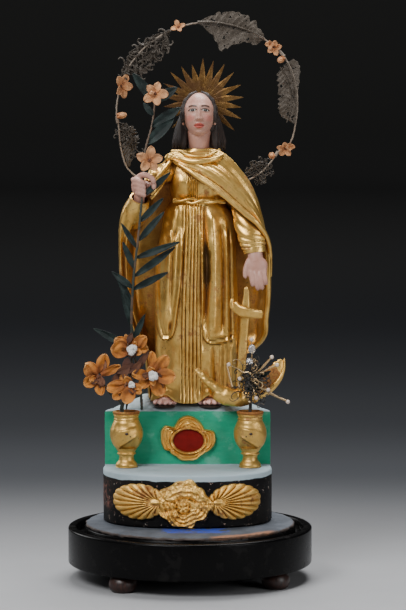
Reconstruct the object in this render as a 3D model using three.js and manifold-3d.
// A gilded saint on a stepped, painted plinth, which stands on a turned dome stand with four bun feet.
// Millimetres, +Z up, front towards -Y. The origin is on the ground, on the stand's axis.
import * as THREE from "three";
import { mergeVertices } from "three/addons/utils/BufferGeometryUtils.js";
import Module from "manifold-3d";

const wasm = await Module();
wasm.setup();

// Driving dimensions
const GAP = 0.3;
const SMALLEST_STEP = 0.35;
const STAND_RADIUS = 122;
const STAND_BOTTOM = 16;
const STAND_TOP = 52.5;
const GROOVE_INNER = 105.5;
const GROOVE_OUTER = 114;
const GROOVE_FLOOR = 43.5;
const PAD_TOP = 53;
const BOARD_RADIUS = 106;
const BOARD_TOP = 57;
const FOOT_RADIUS = 14.6;
const FOOT_CIRCLE = 107;
const FOOT_TURN = 7.3;
const PLINTH = { x: -2.5, y: 10, halfWidth: 84.5, halfDepth: 64, power: 2.3 };
const LEDGE_TOP = 110;
const STEP_FACE_Y = 24;
const PLINTH_TOP = 165.5;
const VASE_MIDDLE = -1.7;
const VASE_SPACING = 124;
const VASE_HEIGHT = 56.5;
const VASE_BELLY = 16.5;
const HALO = { x: 12, y: 70, z: 474, disc: 24.5, ray: 45, rays: 22, thick: 0.8 };
const HOOP = { x: 17, y: 82, z: 463.4, radius: 91.5, wire: 1.1 };
const ROUND_SIDES = 40;
const SLIM_SIDES = 10;
const VASE_SIDES = 14;

const GILT = { color: 0xc9973f, roughness: 0.35, metalness: 0.9 };
const FINISHES = {
  ebony: { color: 0x0d0d0d, roughness: 0.25, metalness: 0 },
  bare_wood: { color: 0x4a2a1a, roughness: 0.6, metalness: 0 },
  blue_paint: { color: 0x5b6f8f, roughness: 0.8, metalness: 0 },
  plinth_paint: { color: 0x3aa07a, roughness: 0.6, metalness: 0 },
  gilding: GILT,
  red_panel: { color: 0x8c1a16, roughness: 0.4, metalness: 0 },
  halo_brass: { color: 0xa87a3a, roughness: 0.45, metalness: 0.8 },
  cloth_orange: { color: 0xd98a4e, roughness: 0.9, metalness: 0 },
  lace_silver: { color: 0x6e655a, roughness: 0.6, metalness: 0.4 },
  leaf_green: { color: 0x22332e, roughness: 0.8, metalness: 0 },
  wire: { color: 0x9a8a72, roughness: 0.5, metalness: 0.6 },
  bead: { color: 0xcfc4b4, roughness: 0.3, metalness: 0 },
};

const part = new THREE.Group();

// Turns a closed three.js geometry into a solid that can be joined and cut.
function solid(geometry) {
  const bare = new THREE.BufferGeometry();
  bare.setAttribute("position", geometry.getAttribute("position"));
  if (geometry.index) bare.setIndex(geometry.index);
  const merged = mergeVertices(bare, 1e-3);
  return new wasm.Manifold(
    new wasm.Mesh({
      numProp: 3,
      vertProperties: merged.attributes.position.array,
      triVerts: new Uint32Array(merged.index.array),
    }),
  );
}

function geometryOf(made) {
  const mesh = made.getMesh();
  const geometry = new THREE.BufferGeometry();
  geometry.setAttribute("position", new THREE.BufferAttribute(mesh.vertProperties, 3));
  geometry.setIndex(new THREE.BufferAttribute(mesh.triVerts, 1));
  return geometry;
}

function join(solids) {
  return solids.reduce((all, one) => all.add(one));
}

function put(name, finish, shape) {
  const geometry = shape.isBufferGeometry ? shape : geometryOf(shape);
  const mesh = new THREE.Mesh(geometry, new THREE.MeshStandardMaterial(FINISHES[finish]));
  mesh.name = name;
  part.add(mesh);
  return mesh;
}

// A body turned about the Z axis from [radius, height] pairs.
function turned(profile, segments) {
  const points = profile.map(([r, z]) => new THREE.Vector2(r, z));
  return new THREE.LatheGeometry(points, segments).rotateX(Math.PI / 2);
}

function tube(points, radius, steps, sides = 6) {
  const path = new THREE.CatmullRomCurve3(points.map((p) => new THREE.Vector3(...p)));
  const ring = new THREE.Shape();
  for (let i = 0; i < sides; i++) {
    const a = (2 * Math.PI * i) / sides;
    const p = [radius * Math.cos(a), radius * Math.sin(a)];
    if (i) ring.lineTo(...p);
    else ring.moveTo(...p);
  }
  ring.closePath();
  return new THREE.ExtrudeGeometry(ring, { steps, extrudePath: path, bevelEnabled: false });
}

function ball(x, y, z, rx, ry, rz, across = 8, down = 6) {
  return new THREE.SphereGeometry(1, across, down).scale(rx, ry, rz).translate(x, y, z);
}

// A smooth value at a height or angle from rows of [height, value], highest row first.
function valueAt(rows, z, column = 1) {
  if (z >= rows[0][0]) return rows[0][column];
  const last = rows.length - 1;
  if (z <= rows[last][0]) return rows[last][column];
  const i = rows.findIndex((row, k) => z <= row[0] && z > rows[k + 1][0]);
  const slope = (a, b) => (rows[b][column] - rows[a][column]) / (rows[b][0] - rows[a][0]);
  const here = slope(i, i + 1);
  const tangent = (a, b) => {
    if (a < 0 || b > last) return here;
    const s = slope(a, b);
    return s * here <= 0 ? 0 : s;
  };
  const span = rows[i + 1][0] - rows[i][0];
  const t = (z - rows[i][0]) / span;
  const m0 = tangent(i - 1, i + 1) * span;
  const m1 = tangent(i, i + 2) * span;
  const p0 = rows[i][column];
  const p1 = rows[i + 1][column];
  return (
    (2 * t ** 3 - 3 * t ** 2 + 1) * p0 +
    (t ** 3 - 2 * t ** 2 + t) * m0 +
    (3 * t ** 2 - 2 * t ** 3) * p1 +
    (t ** 3 - t ** 2) * m1
  );
}

// A closed body through stacked rings: ring(height) gives count [x, y] points, anticlockwise from above.
function stacked(heights, count, ring) {
  const geometry = new THREE.CylinderGeometry(1, 1, 1, count, heights.length - 1);
  geometry.rotateX(Math.PI / 2);
  const position = geometry.attributes.position;
  const low = Math.min(...heights);
  const high = Math.max(...heights);
  const rings = heights.map(ring);
  const middles = rings.map((points) => [
    points.reduce((sum, p) => sum + p[0], 0) / count,
    points.reduce((sum, p) => sum + p[1], 0) / count,
  ]);
  for (let i = 0; i < position.count; i++) {
    const x = position.getX(i);
    const y = position.getY(i);
    const level = Math.round((0.5 - position.getZ(i)) * (heights.length - 1));
    const turn = Math.round((Math.atan2(y, x) / (2 * Math.PI)) * count + count) % count;
    const p = Math.hypot(x, y) < 0.5 ? middles[level] : rings[level][turn];
    position.setXYZ(i, p[0], p[1], heights[level]);
  }
  if (heights[0] !== high || heights.at(-1) !== low) throw new Error("heights run downwards");
  return geometry;
}

// Evenly spaced heights from high to low.
function levels(high, low, count) {
  return Array.from({ length: count }, (_, i) => high + ((low - high) * i) / (count - 1));
}

// Stand, feet and board
const STAND_PROFILE = [
  [0, STAND_BOTTOM],
  [STAND_RADIUS - 2, STAND_BOTTOM],
  [STAND_RADIUS, STAND_BOTTOM + 2.5],
  [STAND_RADIUS, STAND_TOP - 3],
  [STAND_RADIUS - 2.5, STAND_TOP],
  [GROOVE_OUTER, STAND_TOP],
  [GROOVE_OUTER, GROOVE_FLOOR],
  [GROOVE_INNER, GROOVE_FLOOR],
  [GROOVE_INNER, PAD_TOP],
  [0, PAD_TOP],
];
put("dome_stand", "ebony", turned(STAND_PROFILE, ROUND_SIDES));
const BOARD_PROFILE = [
  [0, PAD_TOP + GAP],
  [BOARD_RADIUS, PAD_TOP + GAP],
  [BOARD_RADIUS, BOARD_TOP],
  [0, BOARD_TOP],
];
put("painted_board", "blue_paint", turned(BOARD_PROFILE, ROUND_SIDES));

const FOOT_PROFILE = [
  [0, 0],
  [9, 0],
  [13, 2.6],
  [FOOT_RADIUS, 7.8],
  [13, 12.8],
  [9, STAND_BOTTOM - GAP],
  [0, STAND_BOTTOM - GAP],
];
const FOOT_NAMES = ["foot_front_right", "foot_back_right", "foot_back_left", "foot_front_left"];
FOOT_NAMES.forEach((name, i) => {
  const angle = ((-45 + FOOT_TURN + 90 * i) * Math.PI) / 180;
  const foot = put(name, "bare_wood", turned(FOOT_PROFILE, SLIM_SIDES));
  foot.position.set(FOOT_CIRCLE * Math.cos(angle), FOOT_CIRCLE * Math.sin(angle), 0);
});

// Plinth: an oval drum whose front part steps down to a ledge
function ovalY(x) {
  const across = Math.min(1, Math.abs(x - PLINTH.x) / PLINTH.halfWidth);
  return PLINTH.halfDepth * (1 - across ** PLINTH.power) ** (1 / PLINTH.power);
}

function ovalShape() {
  const count = 48;
  const shape = new THREE.Shape();
  for (let i = 0; i < count; i++) {
    const a = (2 * Math.PI * i) / count;
    const s = Math.sin(a);
    const c = Math.cos(a);
    const reach = (Math.abs(c) ** PLINTH.power + Math.abs(s) ** PLINTH.power) ** (-1 / PLINTH.power);
    const x = PLINTH.x + PLINTH.halfWidth * c * reach;
    const y = PLINTH.y + PLINTH.halfDepth * s * reach;
    if (i) shape.lineTo(x, y);
    else shape.moveTo(x, y);
  }
  shape.closePath();
  return shape;
}

function slab(shape, low, high) {
  return new THREE.ExtrudeGeometry(shape, { depth: high - low, bevelEnabled: false })
    .translate(0, 0, low);
}
const drum = solid(slab(ovalShape(), BOARD_TOP + GAP, LEDGE_TOP));
const upper = solid(slab(ovalShape(), LEDGE_TOP - 1, PLINTH_TOP)).trimByPlane([0, 1, 0], STEP_FACE_Y);
put("plinth", "plinth_paint", drum.add(upper));

// Vases on the ledge
const VASE_OUTSIDE = [
  [0, 0],
  [10.7, 0],
  [10.7, 2.5],
  [7.4, 10],
  [9, 16],
  [15, 26],
  [VASE_BELLY, 34],
  [15.3, 41.5],
  [12.2, 47.5],
  [12.8, VASE_HEIGHT],
];
const VASE_FLOOR = 18.5;
const VASE_INSIDE = [
  [10.6, VASE_HEIGHT],
  [10, 47],
  [14, 32.5],
  [12, 24],
  [6, VASE_FLOOR],
  [0, VASE_FLOOR],
];
const VASE_Y = STEP_FACE_Y - VASE_BELLY - GAP;
const VASE_LEFT_X = VASE_MIDDLE - VASE_SPACING / 2;
const VASE_RIGHT_X = VASE_MIDDLE + VASE_SPACING / 2;
for (const [name, x] of [["vase_left", VASE_LEFT_X], ["vase_right", VASE_RIGHT_X]]) {
  const vase = put(name, "gilding", turned([...VASE_OUTSIDE, ...VASE_INSIDE], VASE_SIDES));
  vase.position.set(x, VASE_Y, LEDGE_TOP + GAP);
}

// Cartouche: a lobed frame round a red oval panel, on the step's flat face
const CARTOUCHE = { x: -1.6, z: 134.6, panelWide: 15.5, panelHigh: 11.6, roll: 5 };
// Degrees round the panel's middle and how far the frame reaches there
const FRAME_OUTLINE = [
  [180, 27.9],
  [147, 28],
  [137, 20.8],
  [110, 24.4],
  [90, 25.5],
  [50, 21.6],
  [36, 20.8],
  [18, 27.7],
  [-9, 26.6],
  [-36, 21.1],
  [-90, 20.8],
  [-143, 22.2],
  [-169, 27],
  [-180, 27.9],
];
function lobedShape() {
  const shape = new THREE.Shape();
  const count = 28;
  for (let i = 0; i < count; i++) {
    const degrees = 180 - (360 * i) / count;
    const a = (degrees * Math.PI) / 180;
    const reach = valueAt(FRAME_OUTLINE, degrees);
    const p = [reach * Math.cos(a), reach * Math.sin(a)];
    if (i) shape.lineTo(...p);
    else shape.moveTo(...p);
  }
  shape.closePath();
  return shape;
}

function onFace(shape, thick, back) {
  return new THREE.ExtrudeGeometry(shape, { depth: thick, bevelEnabled: false, curveSegments: 10 })
    .rotateX(Math.PI / 2)
    .translate(CARTOUCHE.x, STEP_FACE_Y - back, CARTOUCHE.z);
}

function oval(wide, high) {
  return new THREE.Shape().absellipse(0, 0, wide, high, 0, 2 * Math.PI);
}
const PANEL_SIZE = [CARTOUCHE.panelWide, CARTOUCHE.panelHigh];
const frameBack = solid(onFace(lobedShape(), 3, GAP));
const frameRoll = solid(onFace(oval(...PANEL_SIZE.map((half) => half + CARTOUCHE.roll)), 6, GAP));
const frameHole = solid(onFace(oval(...PANEL_SIZE), 12, -1));
put("cartouche_frame", "gilding", frameBack.add(frameRoll).subtract(frameHole));
put("cartouche_panel", "red_panel", onFace(oval(...PANEL_SIZE.map((half) => half - GAP)), 3.5, GAP));

// Shell ornament bent round the drum: heights above the drum's skin on a fan of ribs
const ORNAMENT = { x: -3, z: 82, reach: 74, hub: 27, hubHigh: 24, fanX: 47.5, fanWide: 26.5, fanHigh: 19 };
function ornamentHalfHeight(x) {
  const a = Math.abs(x - ORNAMENT.x);
  const hub = a < ORNAMENT.hub ? ORNAMENT.hubHigh * (1 - (a / ORNAMENT.hub) ** 2) ** 0.5 : 0;
  const along = (a - ORNAMENT.fanX) / ORNAMENT.fanWide;
  const fan = Math.abs(along) < 1 ? ORNAMENT.fanHigh * (1 - along ** 2) ** 0.45 : 0;
  return Math.max(hub, fan, a < ORNAMENT.fanX ? 9 : 0.6);
}

function bentOrnament() {
  const columns = 22;
  const rows = 4;
  const geometry = new THREE.BoxGeometry(2, 1, 2, columns, 1, rows);
  const position = geometry.attributes.position;
  for (let i = 0; i < position.count; i++) {
    const x = ORNAMENT.x + position.getX(i) * ORNAMENT.reach;
    const v = position.getZ(i);
    const front = position.getY(i) < 0;
    const a = Math.abs(x - ORNAMENT.x);
    const rib = Math.cos(v * 2 * Math.PI) * (a > ORNAMENT.hub ? 0.9 : 0.3);
    const rise = front ? (2.2 + rib + 4.5 * Math.exp(-((a / 20) ** 2))) * (1 - 0.7 * v * v) : 0;
    const skin = PLINTH.y - ovalY(x) - GAP;
    position.setXYZ(i, x, skin - Math.max(front ? 0.8 : 0, rise), ORNAMENT.z + v * ornamentHalfHeight(x));
  }
  return geometry;
}
put("shell_ornament", "gilding",
  solid(bentOrnament()).subtract(solid(slab(ovalShape(), 0, LEDGE_TOP)).translate([0, -0.25, 0])));

// The saint. Each row is one height of the figure, from the collar down to the hem:
// height, cloak left, cloak right, cloak back, left rim front, left rim width, right rim front
const CLOAK = [
  [426, -8, 20, 58, 46, 6, 46],
  [417, -24, 40, 66, 44, 6, 40],
  [402, -38, 53, 72, 40, 8, 36],
  [387, -54, 62, 75, 26, 12, 34],
  [376, -63, 66, 76, 12, 18, 34],
  [366, -68, 70, 77, 10, 21, 34],
  [351, -71, 74, 77, 16, 14, 32],
  [336, -71.8, 79, 77, 24, 9, 26],
  [316, -71.6, 81.5, 77, 30, 6, 26],
  [296, -70.6, 81.6, 77, 34, 6, 29],
  [276, -67, 81.4, 77, 36, 6, 32],
  [256, -61.6, 79.5, 76, 38, 6, 36],
  [240, -56, 78.5, 76, 40, 6, 42],
  [230, -50, 73, 75, 42, 6, 50],
  [222, -47, 64, 75, 44, 6, 54],
  [214, -46, 51, 75, 45, 6, 54],
  [170, -42, 49, 73, 46, 6, 54],
];
const NICHE_Y = 57;
// Height, tunic left, tunic right, tunic front
const TUNIC = [
  [428, -4, 22, 36],
  [421, -14, 32, 34],
  [410, -21, 38, 31],
  [395, -21, 42, 26],
  [385, -20, 42, 27],
  [376, -18.5, 34, 30],
  [366, -25, 40, 28],
  [351, -28, 46, 26],
  [316, -34, 47, 24],
  [276, -36, 48, 24],
  [240, -36, 48, 25],
  [215, -35, 47, 28],
  [195, -37, 47, 29],
  [170, -40, 48, 27],
];
const TUNIC_BACK = 62;
// Height, mantle's lower edge, mantle's outer side, mantle front
const MANTLE = [
  [427, -10, 22, 40],
  [419, -20, 40, 33],
  [405, -1, 51, 23],
  [389, 20, 63, 18],
  [371, 40, 69, 16],
  [354, 60, 75, 15],
  [342, 70, 80, 19],
  [334, 75, 81.5, 25],
];
const HEM = 168;

// A closed smooth ring through control points, as [x, y] pairs.
function smoothRing(controls, count) {
  const curve = new THREE.CatmullRomCurve3(
    controls.map(([x, y]) => new THREE.Vector3(x, y, 0)), true, "centripetal");
  return curve.getSpacedPoints(count).slice(0, count).map((p) => [p.x, p.y]);
}

function cloakRing(z) {
  const [left, right, back, leftFront, wide, rightFront] = [1, 2, 3, 4, 5, 6]
    .map((column) => valueAt(CLOAK, z, column));
  const deep = Math.min(NICHE_Y, back - 6);
  const fold = 1.6 * Math.sin(z / 30);
  const room = Math.min(1, (right - left) / 70);
  const inner = left + wide * room;
  return smoothRing([
    [right, rightFront + 9],
    [right - 4 * room, back - 14],
    [right * 0.72, back - 3],
    [right * 0.3, back + fold],
    [left * 0.3, back - fold],
    [left * 0.72, back - 3],
    [left + 4 * room, back - 14],
    [left, leftFront + 9],
    [left + 2 * room, leftFront],
    [inner - room, leftFront + 1],
    [inner + room, (leftFront + deep) / 2],
    [inner + 6 * room, deep],
    [(left + right) / 2, deep],
    [right - 12 * room, deep],
    [right - 7 * room, (rightFront + deep) / 2],
    [right - 5 * room, rightFront + 1],
    [right - 1.5 * room, rightFront],
  ], 24);
}

function squircle(left, right, front, back, power, count, extra = () => 0) {
  return Array.from({ length: count }, (_, i) => {
    const a = (2 * Math.PI * i) / count;
    const c = Math.cos(a);
    const s = Math.sin(a);
    const reach = (Math.abs(c) ** power + Math.abs(s) ** power) ** (-1 / power);
    const x = (left + right) / 2 + ((right - left) / 2) * c * reach;
    const middle = (front + back) / 2;
    const y = middle + ((back - front) / 2) * s * reach;
    return [x, s < 0 ? y - extra(x) * Math.min(1, -2 * s) : y];
  });
}

// Carved relief of the tunic's front at (x, z): flaps, belt and pleats
const FLAP_LEFT = { low: 237, x: -22, half: 13 };
const FLAP_RIGHT = { low: 234.5, left: 13, right: 46 };
function tunicRelief(x, z) {
  if (z > 381) return Math.abs(x - 9) < 9 ? 1.2 : 0;
  if (z > 373) return 1.6;
  const spread = 1 + (373 - z) / 300;
  const pleat = 1.7 * Math.cos(((x - 1) / spread) * 0.4) * Math.exp(-(((x - 1) / 26) ** 2));
  const inLeft = Math.abs(x - FLAP_LEFT.x) < FLAP_LEFT.half &&
    z > FLAP_LEFT.low + 12 * Math.abs((x - FLAP_LEFT.x) / FLAP_LEFT.half) ** 3;
  const inRight = x > FLAP_RIGHT.left && x < FLAP_RIGHT.right && z > FLAP_RIGHT.low;
  return pleat + (inLeft || inRight ? 2.4 : 0);
}

function tunicRing(z) {
  const [left, right, front] = [1, 2, 3].map((column) => valueAt(TUNIC, z, column));
  return squircle(left, right, front, TUNIC_BACK, 2.5, 24, (x) => tunicRelief(x, z));
}

function mantleRing(z) {
  const [edge, side, front] = [1, 2, 3].map((column) => valueAt(MANTLE, z, column));
  const ridge = (x) => 1.3 * Math.cos(((x - edge) / Math.max(12, side - edge)) * 6 * Math.PI);
  return squircle(edge, side, front, 74, 3.4, 20, ridge);
}

// A limb from one point to another with a radius at each end.
function limb(from, to, r0, r1, sides = 8) {
  const a = new THREE.Vector3(...from);
  const b = new THREE.Vector3(...to);
  const geometry = new THREE.CylinderGeometry(r1, r0, a.distanceTo(b), sides, 1);
  const turn = new THREE.Quaternion().setFromUnitVectors(
    new THREE.Vector3(0, 1, 0), b.clone().sub(a).normalize());
  const middle = a.clone().add(b).multiplyScalar(0.5);
  return geometry.applyQuaternion(turn).translate(middle.x, middle.y, middle.z);
}

const RIGHT_HAND = [-47.5, 6, 392];
const LEFT_HAND = [66, 9, 306];
const HEAD = { x: 9, y: 45, z: 463, halfWidth: 16.5, halfDepth: 20, halfHeight: 25, tilt: 0.3 };

function headSolids() {
  const skull = new THREE.SphereGeometry(1, 14, 10)
    .scale(HEAD.halfWidth, HEAD.halfDepth, HEAD.halfHeight);
  const nose = new THREE.ConeGeometry(2.6, 9, 5).rotateX(Math.PI / 2)
    .rotateX(0.9).translate(0, -HEAD.halfDepth + 0.5, -2);
  const hair = new THREE.SphereGeometry(1, 12, 8)
    .scale(HEAD.halfWidth + 3, HEAD.halfDepth - 2, HEAD.halfHeight).translate(0, 4.5, 2.5);
  return [skull, nose, hair].map((piece) =>
    solid(piece.rotateX(-HEAD.tilt).translate(HEAD.x, HEAD.y, HEAD.z)));
}

function rightHand() {
  const [x, y, z] = RIGHT_HAND;
  const fist = [
    solid(ball(x, y, z, 9, 8, 10)),
    solid(limb([x + 12, y + 10, z + 7], [x + 2, y + 1, z + 1], 6.4, 6)),
  ];
  for (let i = 0; i < 4; i++) {
    fist.push(solid(ball(x - 4 + 0.6 * i, y - 6, z + 7.5 - 4.6 * i, 6, 3.4, 2.6, 5, 4)));
  }
  fist.push(solid(limb([x + 9, y - 2, z + 3], [x + 2, y - 8, z + 1], 3.4, 2.6, 6)));
  return fist;
}

function leftHand() {
  const [x, y, z] = LEFT_HAND;
  const made = [
    solid(limb([x - 1, y + 5, z + 26], [x, y, z + 6], 7.4, 8.4)),
    solid(ball(x, y, z + 2, 10.5, 5.5, 13)),
  ];
  const spread = [-8.5, -3.2, 2, 6.6];
  const reach = [17, 24, 22, 16];
  spread.forEach((dx, i) => {
    made.push(solid(limb([x + dx * 0.9, y - 1, z - 4], [x + dx - 1, y + 1, z - reach[i]], 3, 2.2, 6)));
  });
  return made;
}

const saintPieces = [
  solid(stacked(levels(426, HEM, 15), 24, cloakRing)),
  solid(stacked([...levels(428, 381, 4), ...levels(377, HEM, 8)], 24, tunicRing)),
  solid(stacked(levels(427, 334, 7), 20, mantleRing)),
  solid(ball(0, 46, 172, 58, 27, 8, 14, 6)).trimByPlane([0, 0, 1], PLINTH_TOP + GAP),
  solid(limb([9, 46, 415], [9, 46, 452], 12, 10.2, 10)),
  ...headSolids(),
  solid(ball(-9.4, 53, 434, 9, 8, 18)),
  solid(ball(27.4, 53, 434, 9, 8, 18)),
  solid(limb([-18, 46, 409], [-40, 12, 397], 10, 8.5)),
  solid(limb([60, 38, 352], [65, 17, 329], 16, 10.5, 12)),
  solid(limb([-54, 20, 365], [-50, 9, 380], 11.5, 10.5, SLIM_SIDES)),
  ...rightHand(),
  ...leftHand(),
];
for (const x of [-26, 20]) {
  saintPieces.push(solid(ball(x, 34, 170.5, 11, 11, 6.5, 8, 5)).trimByPlane([0, 0, 1], 167.5));
}
const saint = join(saintPieces);
put("saint", "gilding", saint);

// Anything that leans on the saint is cut back to a hair's clearance from her.
function clearOfSaint(made) {
  const steps = [[0, -GAP, 0], [GAP, 0, 0], [-GAP, 0, 0], [0, 0, GAP], [0, GAP, 0]];
  return steps.reduce((left, step) => left.subtract(saint.translate(step)), made.subtract(saint));
}

// Largest piece of a solid that cutting may have split
function largest(made) {
  return made.decompose().reduce((a, b) => (a.volume() > b.volume() ? a : b));
}

// Anchor in front of the left hip: shank, cross bar and curved arms
const ANCHOR_SHANK = limb([50.4, 14.5, 178], [56.5, 14, 289], 4.4, 3.4, 8);
const ANCHOR_STOCK = tube([
  [42.6, 13, 274],
  [49, 10, 268],
  [56.5, 8.6, 265.6],
  [64.5, 8.8, 264.2],
  [73, 12.5, 263.4],
], 3.8, 6);
const ANCHOR_ARMS = tube([
  [5.5, 15, 208.4],
  [20, 12.4, 194],
  [40, 12, 181],
  [57, 11.6, 178.6],
  [75, 13.5, 184],
  [90.5, 15, 199.6],
  [94.6, 16.5, 217],
], 4.4, 14);
const ANCHOR_FLUKE = blade([66, 16, 188], [94, 17, 217], 14);
const anchorPieces = [ANCHOR_SHANK, ANCHOR_STOCK, ANCHOR_ARMS, ANCHOR_FLUKE].map(solid);
put("anchor", "gilding", largest(clearOfSaint(join(anchorPieces))));

// Halo: a disc with pointed rays, cut from sheet
function haloShape() {
  const shape = new THREE.Shape();
  for (let i = 0; i < HALO.rays * 2; i++) {
    const a = (Math.PI * i) / HALO.rays + 0.02 * Math.sin(5 * i);
    const r = i % 2 ? HALO.disc : HALO.ray + 1.6 * Math.sin(3.7 * i);
    const p = [r * Math.cos(a), r * Math.sin(a)];
    if (i) shape.lineTo(...p);
    else shape.moveTo(...p);
  }
  shape.closePath();
  return shape;
}
put("halo", "halo_brass", new THREE.ExtrudeGeometry(haloShape(), { depth: HALO.thick, bevelEnabled: false })
  .rotateX(Math.PI / 2).translate(HALO.x, HALO.y + HALO.thick, HALO.z));

// Hoop of wire behind the shoulders: degrees round it and how far it is bent outwards there
const HOOP_BENDS = [
  [298, -11],
  [240, 0],
  [216, 7.5],
  [206, 4.5],
  [190, -0.5],
  [165, 0],
  [118, -1],
  [75, 0],
  [48, 3],
  [35, 5],
  [-5, -0.5],
  [-21, -1.5],
  [-30, -9],
  [-45, -9],
  [-62, -11],
];
const HOOP_SPANS = 48;
const SHEET = 0.8;

// A point on the hoop at an angle in degrees, 0 at the right and 90 at the top
function onHoop(degrees, forward = 0, out = 0) {
  const a = (degrees * Math.PI) / 180;
  const lowest = HOOP_BENDS.at(-1)[0];
  const bend = valueAt(HOOP_BENDS, ((degrees - lowest + 360) % 360) + lowest);
  const r = HOOP.radius + bend + out;
  return [HOOP.x + r * Math.cos(a), HOOP.y - forward, HOOP.z + r * Math.sin(a)];
}
const hoopCurve = new THREE.CatmullRomCurve3(
  Array.from({ length: HOOP_SPANS }, (_, i) => new THREE.Vector3(...onHoop((360 * i) / HOOP_SPANS))), true);
put("garland_hoop", "wire", new THREE.TubeGeometry(hoopCurve, HOOP_SPANS, HOOP.wire, 4, true));

// A cloth flower: lobed outline, pressed from sheet, facing -Y before it is turned
function flower(radius, petals, thick = 1.2) {
  const shape = new THREE.Shape();
  const count = petals * 4;
  for (let i = 0; i < count; i++) {
    const a = (2 * Math.PI * i) / count;
    const r = radius * (0.42 + 0.58 * Math.abs(Math.cos((petals * a) / 2)) ** 0.6);
    const p = [r * Math.cos(a), r * Math.sin(a)];
    if (i) shape.lineTo(...p);
    else shape.moveTo(...p);
  }
  shape.closePath();
  return new THREE.ExtrudeGeometry(shape, { depth: thick, bevelEnabled: false })
    .rotateX(Math.PI / 2);
}

function place(geometry, position, turn = [0, 0, 0]) {
  const euler = new THREE.Euler(...turn);
  return geometry
    .applyMatrix4(new THREE.Matrix4().makeRotationFromEuler(euler))
    .translate(...position);
}

// Angle on the hoop, radius, petals
const HOOP_FLOWERS = [
  [163, 11, 5],
  [185, 6, 3],
  [108.6, 7, 3],
  [44.5, 7, 4],
  [37, 4, 3],
  [336, 8, 5],
  [327, 4.5, 3],
];
HOOP_FLOWERS.forEach(([angle, radius, petals], i) => {
  const at = onHoop(angle, HOOP.wire + GAP);
  put(`garland_flower_${i + 1}`, "cloth_orange", place(flower(radius, petals), at));
});

// Lace leaves: start and end angle on the hoop, how far they reach inwards and outwards
const HOOP_LEAVES = [
  [157, 116, 19, 6],
  [95, 53, 26, 13],
  [31, -7, 19, 7],
  [214, 187, 18, 1],
  [325, 301, 10, 7],
];
function laceLeaf(from, to, inward, outward) {
  const shape = new THREE.Shape();
  const steps = 9;
  const rim = (t, reach) => {
    const angle = from + (to - from) * t;
    const [x, , z] = onHoop(angle, 0, reach * Math.sin(Math.PI * t) ** 0.7);
    return [x, z];
  };
  for (let i = 0; i <= steps; i++) {
    const p = rim(i / steps, outward * (i % 2 ? 1 : 0.8) + 0.01);
    if (i) shape.lineTo(...p);
    else shape.moveTo(...p);
  }
  for (let i = steps - 1; i > 0; i--) shape.lineTo(...rim(i / steps, -inward * (i % 2 ? 1 : 0.85)));
  shape.closePath();
  return new THREE.ExtrudeGeometry(shape, { depth: SHEET, bevelEnabled: false })
    .rotateX(Math.PI / 2).translate(0, HOOP.y + HOOP.wire + GAP + SHEET, 0);
}
HOOP_LEAVES.forEach((leaf, i) => put(`lace_leaf_${i + 1}`, "lace_silver", laceLeaf(...leaf)));

// A narrow leaf blade from its base to its tip, folded a little along the middle
function blade(from, to, wide) {
  const a = new THREE.Vector3(...from);
  const b = new THREE.Vector3(...to);
  const geometry = new THREE.SphereGeometry(1, 4, 3).scale(wide / 2, a.distanceTo(b) / 2, 0.7);
  const along = b.clone().sub(a).normalize();
  const side = new THREE.Vector3().crossVectors(along, new THREE.Vector3(0, -1, 0)).normalize();
  const face = new THREE.Vector3().crossVectors(side, along);
  const turn = new THREE.Matrix4().makeBasis(side, along, face);
  const middle = a.clone().add(b).multiplyScalar(0.5);
  return geometry.applyMatrix4(turn).translate(middle.x, middle.y, middle.z);
}

// The branch: a stem through the right hand with blades in alternate pairs
const BRANCH = [
  [-35, 30, 476],
  [-38, 18, 452],
  [-45, 8, 425],
  [-49, -5, 394],
  [-52, -5, 345],
  [-57, 0, 290],
  [-58, 14, 240],
  [-50.5, 24, 190],
  [-48.5, 26, PLINTH_TOP + GAP],
];
const branchPath = new THREE.CatmullRomCurve3(BRANCH.map((p) => new THREE.Vector3(...p)));
const BLADE_WIDTH = 8;
// Share of the way down the stem, blade's tip relative to its base, width if it is a broad one
const BLADES = [
  [0, [-21, 4, 26], 10],
  [0, [21, 4, 13], 10],
  [0.05, [-10, 4, 12]],
  [0.088, [27, 8, 18], 11],
  [0.145, [25.5, 8, 23.6], 11],
  [0.34, [26, 6, 24]],
  [0.4, [24, 0, 22]],
  [0.46, [28, 0, 26]],
  [0.5, [-16, 0, 20]],
  [0.52, [36, 0, 14]],
  [0.56, [-18, 2, 24]],
  [0.57, [40, 0, 20]],
  [0.62, [34, 2, 12]],
  [0.64, [-16, 4, 26]],
  [0.74, [-12, 6, 40]],
  [0.78, [14, 0, 26]],
  [0.8, [-34, 8, 14]],
];
// Short stalks that hold the two cloth flowers in front of the stem
const FLOWER_STALKS = [
  [[-35, 30, 474], [-35, 27, 484], [-35, 15 + 3 * GAP, 485]],
  [[-45.5, 7, 423], [-43, 1, 422], [-40.5, -4 + 3 * GAP, 420]],
];
const branchPieces = [solid(tube(BRANCH, 1.2, 16, 4))];
for (const stalk of FLOWER_STALKS) branchPieces.push(solid(tube(stalk, 1.1, 4, 4)));
for (const [share, tip, wide = BLADE_WIDTH] of BLADES) {
  const base = branchPath.getPointAt(share);
  const end = [base.x + tip[0], base.y + tip[1], base.z + tip[2]];
  branchPieces.push(solid(blade(base.toArray(), end, wide)));
}
const branch = largest(clearOfSaint(join(branchPieces))).simplify(SMALLEST_STEP / 4);
put("branch", "leaf_green", branch);
put("branch_flower_upper", "cloth_orange", place(flower(13, 5), [-35, 15, 485]));
put("branch_flower_lower", "cloth_orange", place(flower(14, 5), [-40.5, -4, 420]));

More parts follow.
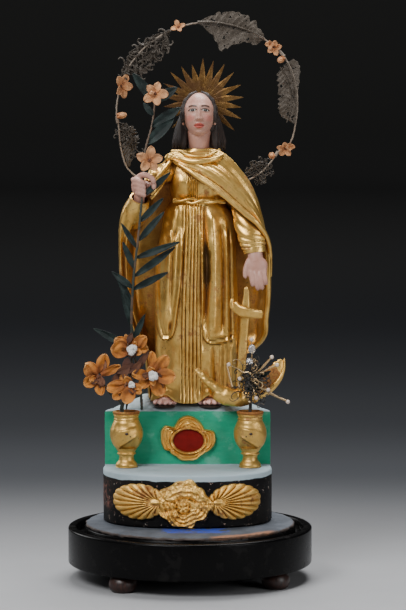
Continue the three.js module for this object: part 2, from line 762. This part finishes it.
// The left vase's bouquet: stems, flowers with cotton hearts, and brown leaves
const STEM_Y = VASE_Y - 4;
const STEM_FOOT_Z = LEDGE_TOP + VASE_FLOOR + 2 * GAP;
const STEM_LEAN = 2.5;
const BINDING_Z = 170;
// Middle, radius, petals, turn about Z
const BOUQUET_FLOWERS = [
  [[-58, 2, 229], 16, 5, 0.2],
  [[-38, -6, 203], 17, 5, -0.4],
  [[-91, -2, 204], 16, 5, 0.5],
  [[-61, -14, 193], 15, 5, 0.1],
];
const stems = BOUQUET_FLOWERS.map(([at], i) => {
  const x = VASE_LEFT_X - 3 + 0.7 * i;
  return solid(tube([
    [x, STEM_Y, STEM_FOOT_Z],
    [x - STEM_LEAN, STEM_Y, BINDING_Z],
    [at[0] * 0.7 + VASE_LEFT_X * 0.3, at[1] + 8, 186],
    [at[0], at[1] + 2.5, at[2]],
  ], 0.9, 5, 4));
});
const binding = solid(new THREE.BoxGeometry(6, 2.4, 2.4)
  .translate(VASE_LEFT_X - 2 - STEM_LEAN, STEM_Y, BINDING_Z));
put("bouquet_stems", "wire", join([...stems, binding]).simplify(SMALLEST_STEP / 4));
BOUQUET_FLOWERS.forEach(([at, radius, petals, turn], i) =>
  put(`bouquet_flower_${i + 1}`, "cloth_orange", place(flower(radius, petals, 1.6), at, [0, 0, turn])));

// The right vase's sprig: fine wires tipped with beads
const SPRIG_FOOT = [VASE_RIGHT_X, STEM_Y, STEM_FOOT_Z];
const SPRIG_HEART = [62, -2.7, 197];
const SPRIG_BALL = 9.5;
const SPRIG_TIPS = [
  [61.3, -9, 240.3],
  [59.3, -11, 218.9],
  [38.6, -9, 215.4],
  [81.6, -4, 222.1],
  [86.8, -9, 214.9],
  [97.5, -10, 178],
  [78, -12, 190.3],
  [49.4, -12, 201.4],
  [66, -14, 182],
];
const sprig = [
  solid(tube([SPRIG_FOOT, [VASE_RIGHT_X, STEM_Y, 172], SPRIG_HEART], 1.6, 6, 6)),
  solid(new THREE.IcosahedronGeometry(SPRIG_BALL, 0).scale(1.4, 0.7, 1).translate(...SPRIG_HEART)),
];
for (const tip of SPRIG_TIPS) {
  const bend = [(tip[0] + SPRIG_HEART[0]) / 2, tip[1] - 3, (tip[2] + SPRIG_HEART[2]) / 2];
  sprig.push(solid(tube([SPRIG_HEART, bend, tip], 0.8, 3, 3)));
  sprig.push(solid(new THREE.OctahedronGeometry(2.5, 0).translate(...tip)));
}
put("bead_sprig", "bead", join(sprig).simplify(SMALLEST_STEP / 4));

export default part;
